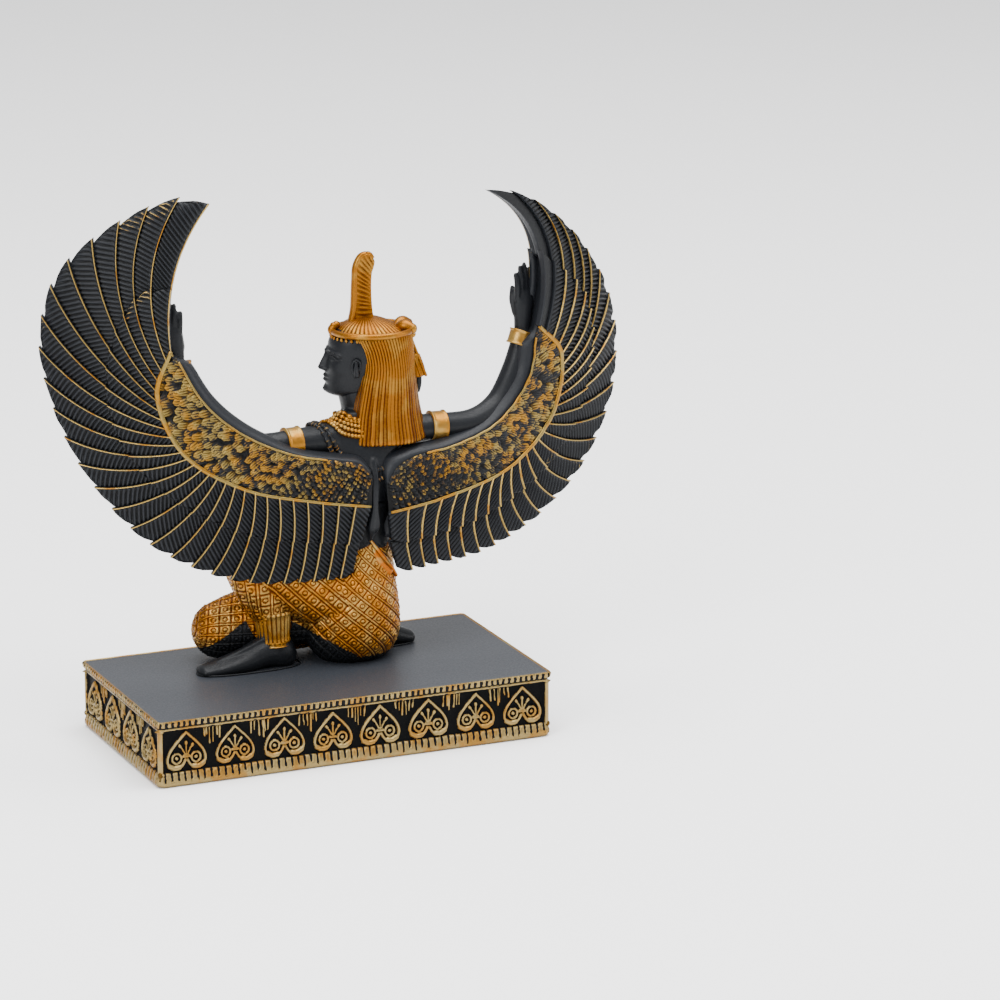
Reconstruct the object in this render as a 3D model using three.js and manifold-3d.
// Winged kneeling figurine in cast resin, painted black and antique gold.
// The figure and her spread wings are one casting, which kneels on an oblong plinth with a frieze of palmettes.
// Millimetres, +Z up. The chest faces -Y, the face is turned to +X, and the wings stand behind the back.
// The origin is the centre of the plinth's underside.
import * as THREE from "three";
import { mergeVertices } from "three/addons/utils/BufferGeometryUtils.js";
import Module from "manifold-3d";

const PLINTH = {
  length: 104, width: 56, height: 16.8, rim: 2.6, band: 3.2, inset: 1.2, foot: 0.5, setBack: 0.2,
};
const HEARTS = { long: 8, short: 4, height: 9.6, width: 10.6, ring: 1.1, relief: 0.9, sunk: 0.5, boss: 1.4 };
const SEAM = 0.3; // between the plinth's top and the casting's flat underside
const FLOOR = PLINTH.height + SEAM;

const SPINE = -15.4;
const BACK = 4; // y of the wings' outer face at the spine
const WING_RADIUS = 130; // the wings curve forwards round an upright axis
const WING = {
  sweepTips: 0.125, sweepMiddle: 0.055, sweepBorder: 0.1, // how the feathers crowd along each line
  notch: 1.3, shaft: 0.85, // depth of the notch beside each feather tip, and its place between two shafts
  ridge: 0.75, step: 0.8, cord: 0.7, scale: 0.45, scaleRows: 2, web: 2.8,
  rootThickness: 5, middleThickness: 4, tipThickness: 2.1, edge: 0.5,
};
const HEAD = { x: -17.5, y: -9, yaw: THREE.MathUtils.degToRad(-12) };
const WIG = { strands: 15, flute: 0.03 };

const BLACK = { color: 0x1b1c1f, roughness: 0.42, metalness: 0.15 };
const GOLD = { color: 0xb8863a, roughness: 0.38, metalness: 0.75 };

// Outlines of the spread wings as [distance from the spine along the wing, height], from the top to the spine.
// The wing on the side that the face looks to stands a little higher.
const WINGS = [
  {
    side: 1,
    feathers: 28,
    tips: [[41.5, 135.3], [46.9, 137.1], [61.8, 132], [79, 118], [84, 100.1], [79.9, 81.8], [72.9, 67.6],
      [58.5, 51.3], [44.7, 43.5], [31.7, 39.9], [14.9, 39.5], [6.6, 39.7]],
    middle: [[50.9, 114.4], [57.8, 114.3], [66, 100], [66.6, 83.9], [58.7, 68.5], [44.7, 57.5], [31, 51.8],
      [12.6, 49], [4.6, 47.7]],
    border: [[51.2, 99.1], [54.7, 88.4], [48.6, 73.5], [33.9, 64.1], [17.2, 60], [1.6, 57.3]],
    inner: [[50, 97.6], [43.5, 86.2], [34.7, 78.3], [22, 72.2], [9.9, 69.5]],
    sleeve: [[9, 74.5, 9.5, 4.2], [20.5, 73.4, 7, 3.3], [30, 73.5, 5.5, 3.2], [38.1, 76.5, 5.5, 3.1],
      [44.8, 83.7, 5.5, 2.9], [49.4, 93.8, 5.5, 2.2]],
    hand: [[50, 95.5, 5.5, 2.1], [50.8, 100.5, 5.5, 2.8], [52.2, 106, 5.5, 2.5], [53.2, 110.5, 5.5, 1.8]],
  },
  {
    side: -1,
    feathers: 26,
    tips: [[32, 133.1], [38.7, 132.3], [48.2, 128.2], [66.8, 113.8], [79.8, 95.8], [81.6, 80.1], [76.2, 67.6],
      [62.6, 54.8], [47.6, 46.8], [31.2, 41.5], [15, 40.1], [6, 39.3]],
    middle: [[48.9, 115.4], [55.6, 110.7], [65.7, 102.2], [69.5, 90], [65, 73.4], [54.7, 62.1], [42.5, 55.1],
      [25.8, 49.5], [11.3, 47.5], [4, 46.8]],
    border: [[48.2, 96.4], [56.2, 88.3], [53.8, 74.1], [39.8, 62.5], [17.7, 57.1], [3, 55.2]],
    inner: [[47.4, 94.8], [45.2, 84.3], [35.2, 74.4], [21.4, 70.1], [8.5, 69.5]],
    sleeve: [[9, 74.5, 9.5, 4.2], [20.5, 73.6, 7, 3.3], [31, 73.8, 5.5, 3.2], [38.8, 77, 5.5, 3.1],
      [44.4, 84.6, 5.5, 2.9], [47.8, 93.8, 5.5, 2.2]],
    hand: [[48, 96, 5.5, 2.1], [48.2, 101, 5.5, 2.9], [48.4, 106, 5.5, 2.8], [48.2, 110.8, 5.5, 2]],
  },
];

const wasm = await Module();
wasm.setup();

const v3 = (x, y, z) => new THREE.Vector3(x, y, z);

// A closed mesh as a solid that can be joined and cut.
function solid(geometry) {
  const bare = new THREE.BufferGeometry();
  const source = geometry.index ? geometry.toNonIndexed() : geometry;
  bare.setAttribute("position", source.getAttribute("position"));
  const merged = mergeVertices(bare, 1e-4);
  return new wasm.Manifold(new wasm.Mesh({
    numProp: 3,
    vertProperties: merged.attributes.position.array,
    triVerts: new Uint32Array(merged.index.array),
  }));
}

const join = (geometries) => geometries.map(solid).reduce((whole, part) => whole.add(part));

function meshOf(name, shape, look) {
  const { numProp, vertProperties, triVerts } = shape.getMesh();
  const position = new Float32Array((vertProperties.length / numProp) * 3);
  for (let i = 0; i < position.length / 3; i++) {
    position.set(vertProperties.subarray(i * numProp, i * numProp + 3), i * 3);
  }
  const geometry = new THREE.BufferGeometry();
  geometry.setAttribute("position", new THREE.BufferAttribute(position, 3));
  geometry.setIndex(new THREE.BufferAttribute(triVerts, 1));
  geometry.computeVertexNormals();
  const mesh = new THREE.Mesh(geometry, new THREE.MeshStandardMaterial({ ...look, flatShading: true }));
  mesh.name = name;
  return mesh;
}

// The triangles that close a ring of so many points, fanned from its first point.
const fan = (count) => Array.from({ length: count - 2 }, (_, i) => [0, i + 1, i + 2]);

// A closed skin over rings of points, which run anticlockwise round the way from the first ring to the last.
function skin(rings, startCap = fan(rings[0].length), endCap = startCap) {
  const count = rings[0].length;
  const position = [];
  const face = (...corners) => corners.forEach((corner) => position.push(corner.x, corner.y, corner.z));
  const last = rings.at(-1);
  startCap.forEach(([a, b, c]) => face(rings[0][a], rings[0][c], rings[0][b]));
  endCap.forEach(([a, b, c]) => face(last[a], last[b], last[c]));
  for (let r = 0; r + 1 < rings.length; r++) {
    for (let i = 0; i < count; i++) {
      const j = (i + 1) % count;
      face(rings[r][i], rings[r][j], rings[r + 1][j]);
      face(rings[r][i], rings[r + 1][j], rings[r + 1][i]);
    }
  }
  const geometry = new THREE.BufferGeometry();
  geometry.setAttribute("position", new THREE.Float32BufferAttribute(position, 3));
  return geometry;
}

// One level ring: an ellipse between a front and a rear x, so much wide either way, which a function may swell.
function oval([z, front, rear, half], sides, swell = () => 1) {
  return Array.from({ length: sides }, (_, i) => {
    const turn = (2 * Math.PI * i) / sides;
    const size = swell(turn);
    const x = (front + rear) / 2 + ((front - rear) / 2) * size * Math.cos(turn);
    return v3(x, half * size * Math.sin(turn), z);
  });
}

const stack = (levels, sides, swell) => skin(levels.map((level) => oval(level, sides, swell)));

// A limb with round ends through [point, half width, half height] stations. Its width lies level.
function limb(stations, sides) {
  const points = stations.map(([point]) => point);
  const heading = (i) => {
    const next = points[Math.min(i + 1, points.length - 1)];
    return next.clone().sub(points[Math.max(i - 1, 0)]).normalize();
  };
  const ringAt = (centre, along, width, height) => {
    const up = Math.abs(along.z) > 0.9 ? v3(0, 1, 0) : v3(0, 0, 1);
    const level = up.clone().cross(along).normalize();
    const rise = along.clone().cross(level);
    return Array.from({ length: sides }, (_, i) => {
      const turn = (2 * Math.PI * i) / sides;
      return centre.clone()
        .addScaledVector(level, width * Math.cos(turn))
        .addScaledVector(rise, height * Math.sin(turn));
    });
  };
  const rings = [];
  stations.forEach(([point, width, height], i) => {
    const along = heading(i);
    const steps = [[0, 1]];
    const dome = Math.min(width, height) > 5 ? [[0.5, 0.87], [0.87, 0.5]] : [[0.8, 0.6]];
    if (i === 0) steps.unshift(...dome.map(([move, size]) => [-move, size]).reverse());
    if (i === stations.length - 1) steps.push(...dome);
    steps.forEach(([move, size]) => {
      const centre = point.clone().addScaledVector(along, move * Math.min(width, height));
      rings.push(ringAt(centre, along, width * size, height * size));
    });
  });
  return skin(rings);
}

// A round band on a limb from one point to another.
function cuff(from, to, radius) {
  const axis = to.clone().sub(from);
  const profile = [[0, 0], [radius, 0], [radius, axis.length()], [0, axis.length()]];
  const turn = new THREE.Quaternion().setFromUnitVectors(v3(0, 1, 0), axis.clone().normalize());
  return new THREE.LatheGeometry(profile.map(([r, t]) => new THREE.Vector2(r, t)), 8)
    .applyQuaternion(turn).translate(from.x, from.y, from.z);
}

// The wing's surface: distance along the wing from the spine, height, and how far out of the outer face.
function onWing(side, along, height, out = 0) {
  const angle = along / WING_RADIUS;
  const radius = WING_RADIUS + out;
  return v3(SPINE + side * radius * Math.sin(angle), BACK - WING_RADIUS + radius * Math.cos(angle), height);
}

const line = (points) => new THREE.CatmullRomCurve3(points.map(([x, y]) => v3(x, y, 0)), false, "centripetal");

// A feather's shaft bends through its root on the border, the tip of the inner tier and its own tip.
function shaftCurve(root, middle, tip) {
  const split = root.distanceTo(middle) / (root.distanceTo(middle) + middle.distanceTo(tip));
  const pull = middle.clone()
    .addScaledVector(root, -((1 - split) ** 2))
    .addScaledVector(tip, -(split ** 2))
    .divideScalar(2 * split * (1 - split));
  const curve = new THREE.QuadraticBezierCurve3(root, pull, tip);
  return { inner: (t) => curve.getPoint(t * split), outer: (t) => curve.getPoint(split + t * (1 - split)) };
}

// One wing: a grid of two columns a feather over an outer and an under face.
// Each ring runs out from the wing's inner edge over the scales and both tiers to the tip, and back underneath.
function wing({ side, feathers, tips, middle, border, inner }) {
  const [tipLine, middleLine, borderLine, innerLine] = [tips, middle, border, inner].map(line);
  const rings = [];
  const sections = [];
  for (let column = 0; column <= 2 * feathers; column++) {
    const isNotch = column % 2 === 1;
    const s = (Math.floor(column / 2) + (isNotch ? WING.shaft : 0)) / feathers;
    const root = borderLine.getPointAt(s - WING.sweepBorder * Math.sin(Math.PI * s * s));
    const tier = middleLine.getPointAt(s + WING.sweepMiddle * Math.sin(Math.PI * s));
    const tip = tipLine.getPointAt(s + WING.sweepTips * Math.sin(Math.PI * s ** 1.2));
    const start = innerLine.getPointAt(s);
    if (isNotch) {
      tip.addScaledVector(tip.clone().sub(tier).normalize(), -WING.notch);
      tier.addScaledVector(tier.clone().sub(root).normalize(), -0.6 * WING.notch);
    }
    const ridge = isNotch ? 0 : WING.ridge;
    const shaft = shaftCurve(root, tier, tip);
    const ring = [];
    const section = [];
    const add = (point, t, out) => {
      ring.push(onWing(side, point.x, point.y, out));
      section.push(new THREE.Vector2(t, out));
    };
    for (let row = 0; row <= WING.scaleRows; row++) {
      const t = row / (WING.scaleRows + 0.6);
      const raised = row > 0 && (row + column) % 2 === 0;
      add(start.clone().lerp(root, t), t - 1, raised ? WING.scale : -WING.scale / 2);
    }
    add(root, 0, WING.cord);
    add(tier, 1, ridge + WING.step * 0.5);
    add(shaft.outer(0.03), 1.03, ridge - WING.step);
    add(shaft.outer(0.5), 1.5, ridge - WING.step * 0.7);
    add(tip, 2, ridge * 0.5 - WING.edge);
    add(tip, 2, -WING.tipThickness);
    add(shaft.inner(0.9), 0.9, -WING.middleThickness - ridge);
    add(root, 0, -WING.rootThickness - WING.cord);
    add(start.clone().addScaledVector(start.clone().sub(root).normalize(), WING.web), -1.3, -WING.rootThickness);
    rings.push(side > 0 ? ring : ring.reverse());
    sections.push(side > 0 ? section : section.reverse());
  }
  const cap = (section) => THREE.ShapeUtils.triangulateShape(section, [])
    .map((corners) => corners.toSorted((a, b) => a - b));
  return skin(rings, cap(sections[0]), cap(sections.at(-1)));
}

// The arm lies along the wing's upper edge, with the hand open against the leading feather.
// Its stations are [distance along the wing, height, distance in front of the wing's outer face, radius].
function arm({ side, sleeve, hand }) {
  const at = (along, height, depth) => onWing(side, along, height, -depth);
  const round = ([along, height, depth, radius]) => [at(along, height, depth), radius, radius];
  const flat = ([along, height, depth, radius]) => [at(along, height, depth), radius, 0.8 * radius];
  const band = (from, to, radius) => cuff(at(...from), at(...to), radius);
  const [, upper, , , , wrist] = sleeve;
  return [
    limb(sleeve.map(round), 8), limb(hand.map(flat), 6),
    band([upper[0] - 1.9, upper[1], upper[2] + 0.3], [upper[0] + 1.9, upper[1], upper[2] - 0.3], 3.4),
    band([wrist[0] - 1.6, wrist[1] - 2.6, wrist[2]], [wrist[0] + 0.3, wrist[1] + 1.4, wrist[2]], 2.5),
  ];
}

// Hips, waist, chest and shoulders as level ovals: [height, x in front, x behind, half depth].
// The seat is sunk a little into the plinth's level and is cut off flat there.
function torso() {
  const seat = [[FLOOR - 1, -4, -20, 6], [19, -1.6, -22.4, 9], [23, 0.4, -24, 10.8], [29, 1, -24, 11.2],
    [34, 0, -23.4, 10.6]];
  const waist = [[38, -2.3, -22.9, 9.2], [44, -6, -22.4, 7.2], [50, -7.9, -22.5, 6.2], [57, -7.1, -23.7, 6.6]];
  const chest = [[64, -5.6, -25.2, 7.4], [70, -4.4, -26.4, 7.4], [75, -4, -26.8, 6.4], [78, -7.4, -23.4, 5],
    [80.5, -10.8, -20, 4.4]];
  return stack([...seat, ...waist, ...chest], 16).translate(0, -5.6, 0);
}

// The leg nearer the wings has its knee raised and its foot flat. The other kneels, with its foot stretched behind.
function legs() {
  const raisedKnee = v3(15.6, -9.8, 46.6);
  const raised = [
    limb([[v3(-9, -5, 33), 10, 10.4], [v3(4, -7, 38.5), 9.2, 9.4], [raisedKnee, 6.9, 7.4]], 10),
    limb([[raisedKnee, 6.2, 6.6], [v3(12.6, -7, 37), 5.8, 6.3], [v3(9.3, -5.4, 26), 3.6, 3.8]], 10),
    limb([
      [v3(7.6, -5.2, 19.6), 3.6, 3.4], [v3(11, -5.2, 20.4), 3.9, 3.6], [v3(16.5, -5.3, 18.9), 4.2, 3],
      [v3(22.5, -5.4, 17.9), 4, 2.1], [v3(27.4, -5.4, 17.3), 3.3, 1.5],
    ], 10),
    cuff(v3(9, -5.3, 22.4), v3(9.4, -5.4, 29.6), 3.9),
  ];
  const kneelingKnee = v3(19, -16.5, 24);
  const kneeling = [
    limb([[v3(-9, -10, 30), 8.5, 9.5], [v3(5, -14, 27.4), 8.4, 9], [kneelingKnee, 7.2, 7.3]], 10),
    limb([
      [v3(17.5, -16.3, 22.6), 6.6, 6.2], [v3(4, -15.2, 22.2), 5.6, 5.4], [v3(-8, -13.6, 22.6), 4.2, 4.4],
    ], 10),
    limb([
      [v3(-9, -13.4, 22.8), 4.2, 5.2], [v3(-16, -12.6, 21.2), 4.3, 4.9], [v3(-23, -12, 19.2), 4, 3.2],
      [v3(-29.4, -11.6, 17.8), 3.2, 1.8],
    ], 10),
    cuff(v3(-4, -14.2, 22.4), v3(-9.4, -13.5, 22.6), 5),
  ];
  return [...raised, ...kneeling];
}

// A broad collar that hangs lower on the chest and the back than over the shoulders.
function collar() {
  const saddle = ([long, deep, z, drop]) => Array.from({ length: 20 }, (_, i) => {
    const turn = (2 * Math.PI * i) / 20;
    return v3(SPINE + long * Math.cos(turn), -7.6 + deep * Math.sin(turn), z - drop * Math.sin(turn) ** 2);
  });
  const edge = [[12.6, 7.6, 75.2, 7], [13.4, 8.8, 75.6, 7], [12.8, 8.7, 76.8, 6.4]];
  return skin([...edge, [9, 7, 78.3, 3.4], [5.2, 5.1, 79.9, 0.6]].map(saddle));
}

// The head is made looking along +X about the middle of the neck, and is then turned.
function head() {
  const { strands, flute } = WIG;
  const skull = stack([
    [82.6, 4.6, -8, 3.6], [83.7, 8.9, -8, 4], [84.6, 10, -8, 4.8], [85.9, 10.1, -8, 5.5],
    [87, 10.5, -8, 5.9], [87.7, 10.2, -8, 6.1], [88.5, 10.7, -8, 6.3], [89.5, 10.1, -8, 6.5],
    [95, 8.9, -8, 7], [98.4, 8.6, -8, 6.9],
  ], 12);
  const neck = stack([[74, 6.6, -2.2, 4.4], [80, 6.4, -2, 4.2], [86, 6.2, -3.4, 4.8]], 10);
  const nose = limb([[v3(9.1, 0, 94.6), 0.8, 0.8], [v3(10.3, 0, 92.4), 1, 0.9], [v3(11, 0, 90.9), 1.5, 1]], 6);
  const hair = stack([
    [70.4, 3, -16.2, 9.6], [70.9, 3.3, -16.6, 9.9], [80, 1.9, -14.4, 9.2], [91, -0.4, -12.8, 8.6],
    [97.6, -1, -12, 8.3],
  ], 2 * strands, (turn) => 1 + flute * Math.cos(strands * turn));
  const cap = stack([
    [96.9, 8.9, -11.9, 8.4], [98.8, 9.5, -12.3, 8.7], [99.2, 8.7, -11.4, 8], [101, 6.6, -9, 6.4],
    [102.3, 3, -5.5, 3.6],
  ], 16);
  const knob = limb([[v3(9.2, 0, 98.6), 1.1, 1.1], [v3(9.8, 0, 99.6), 1, 1]], 6);
  const pairs = [1, -1].flatMap((half) => [
    limb([[v3(1.4, half * 6.9, 88.6), 0.7, 0.9], [v3(1, half * 7.1, 91.4), 0.8, 1.2]], 6),
    limb([[v3(-8.8, half, 99.6), 1.5, 1.5], [v3(-12.2, half * 1.8, 99.6), 1.6, 1.6]], 6),
    limb([
      [v3(-11, half * 1.4, 98.4), 1.1, 1], [v3(-12.9, half * 1.8, 93.6), 1.2, 1],
      [v3(-14.4, half * 2.1, 88.4), 1.4, 0.8],
    ], 6),
  ]);
  return [skull, neck, nose, hair, cap, knob, ...pairs, ...plume()]
    .map((part) => part.rotateZ(HEAD.yaw).translate(HEAD.x, HEAD.y, 0));
}

// A tall ostrich plume whose tip curls to the back of the head.
function plume() {
  const outline = new THREE.Shape();
  outline.moveTo(-2.4, 100.5);
  outline.lineTo(4.3, 100.5);
  outline.bezierCurveTo(3.6, 106, 3.6, 110, 3.6, 114.4);
  outline.bezierCurveTo(3.3, 117.4, 1, 119, -0.9, 118.7);
  outline.bezierCurveTo(-2.8, 118.3, -3, 116.4, -2, 115);
  outline.bezierCurveTo(-1.6, 110, -1.8, 106, -2.4, 100.5);
  const depth = 2.2;
  const blade = new THREE.ExtrudeGeometry(outline, { depth, curveSegments: 4, bevelEnabled: false });
  const rib = limb([[v3(2.9, 0, 101), 0.8, 1.5], [v3(2.5, 0, 110), 0.7, 1.5], [v3(0.6, 0, 117.2), 0.6, 1.4]], 6);
  return [blade.translate(0, 0, -depth / 2).rotateX(Math.PI / 2), rib];
}

function figure() {
  const whole = join([torso(), ...legs(), collar(), ...head(), ...WINGS.map(wing), ...WINGS.flatMap(arm)]);
  return whole.subtract(solid(new THREE.BoxGeometry(200, 100, 20).translate(0, 0, FLOOR - 10)));
}

// A heart-shaped palmette, point up: an outline ring with a boss in either lobe.
function palmette() {
  const { height, width, ring, relief, sunk, boss } = HEARTS;
  const half = [[0, 0.5], [0.8, 0.08], [1, -0.24], [0.48, -0.5]];
  const corners = [...half, [0, -0.28], ...half.slice(1).reverse().map(([x, y]) => [-x, y])];
  const trace = (scale) => corners.map(([x, y]) => new THREE.Vector2((-x * scale * width) / 2, y * scale * height));
  const heart = new THREE.Shape(trace(1));
  heart.holes.push(new THREE.Path(trace(1 - (2 * ring) / height).reverse()));
  const outline = new THREE.ExtrudeGeometry(heart, { depth: relief + sunk, bevelEnabled: false });
  const bosses = [0.23, -0.23].map((lobe) => new THREE.ConeGeometry(boss, relief + sunk, 4)
    .rotateX(Math.PI / 2).translate(lobe * width, -0.2 * height, (relief + sunk) / 2));
  return [outline, ...bosses];
}

function plinth() {
  const { length, width, height, rim, band, inset, foot, setBack } = PLINTH;
  const block = (long, wide, low, high) => new THREE.BoxGeometry(long, wide, high - low)
    .translate(0, 0, (low + high) / 2);
  const corners = [[-1, -1], [1, -1], [1, 1], [-1, 1]]
    .map(([x, y]) => new THREE.Vector2((x * length) / 2, (y * width) / 2));
  const base = new THREE.ExtrudeGeometry(new THREE.Shape(corners), {
    depth: band - 2 * foot, bevelThickness: foot, bevelSize: foot, bevelOffset: -foot - setBack, bevelSegments: 1,
  });
  const frieze = [];
  const row = (count, long, out, turn) => {
    for (let i = 0; i < count; i++) {
      const along = ((i + 0.5) / count - 0.5) * (long - 2 * inset);
      frieze.push(...palmette().map((part) => part.rotateX(Math.PI / 2)
        .translate(along, -(out / 2 - inset - HEARTS.sunk), (band + height - rim) / 2).rotateZ(turn)));
    }
  };
  [0, Math.PI].forEach((turn) => row(HEARTS.long, length, width, turn));
  [0.5 * Math.PI, 1.5 * Math.PI].forEach((turn) => row(HEARTS.short, width, length, turn));
  return join([
    block(length - 2 * inset, width - 2 * inset, foot, height - 0.4), block(length, width, height - rim, height),
    base.translate(0, 0, foot), ...frieze,
  ]);
}

const group = new THREE.Group();
group.add(meshOf("winged_figure", figure(), BLACK));
group.add(meshOf("plinth", plinth(), GOLD));

export default group;
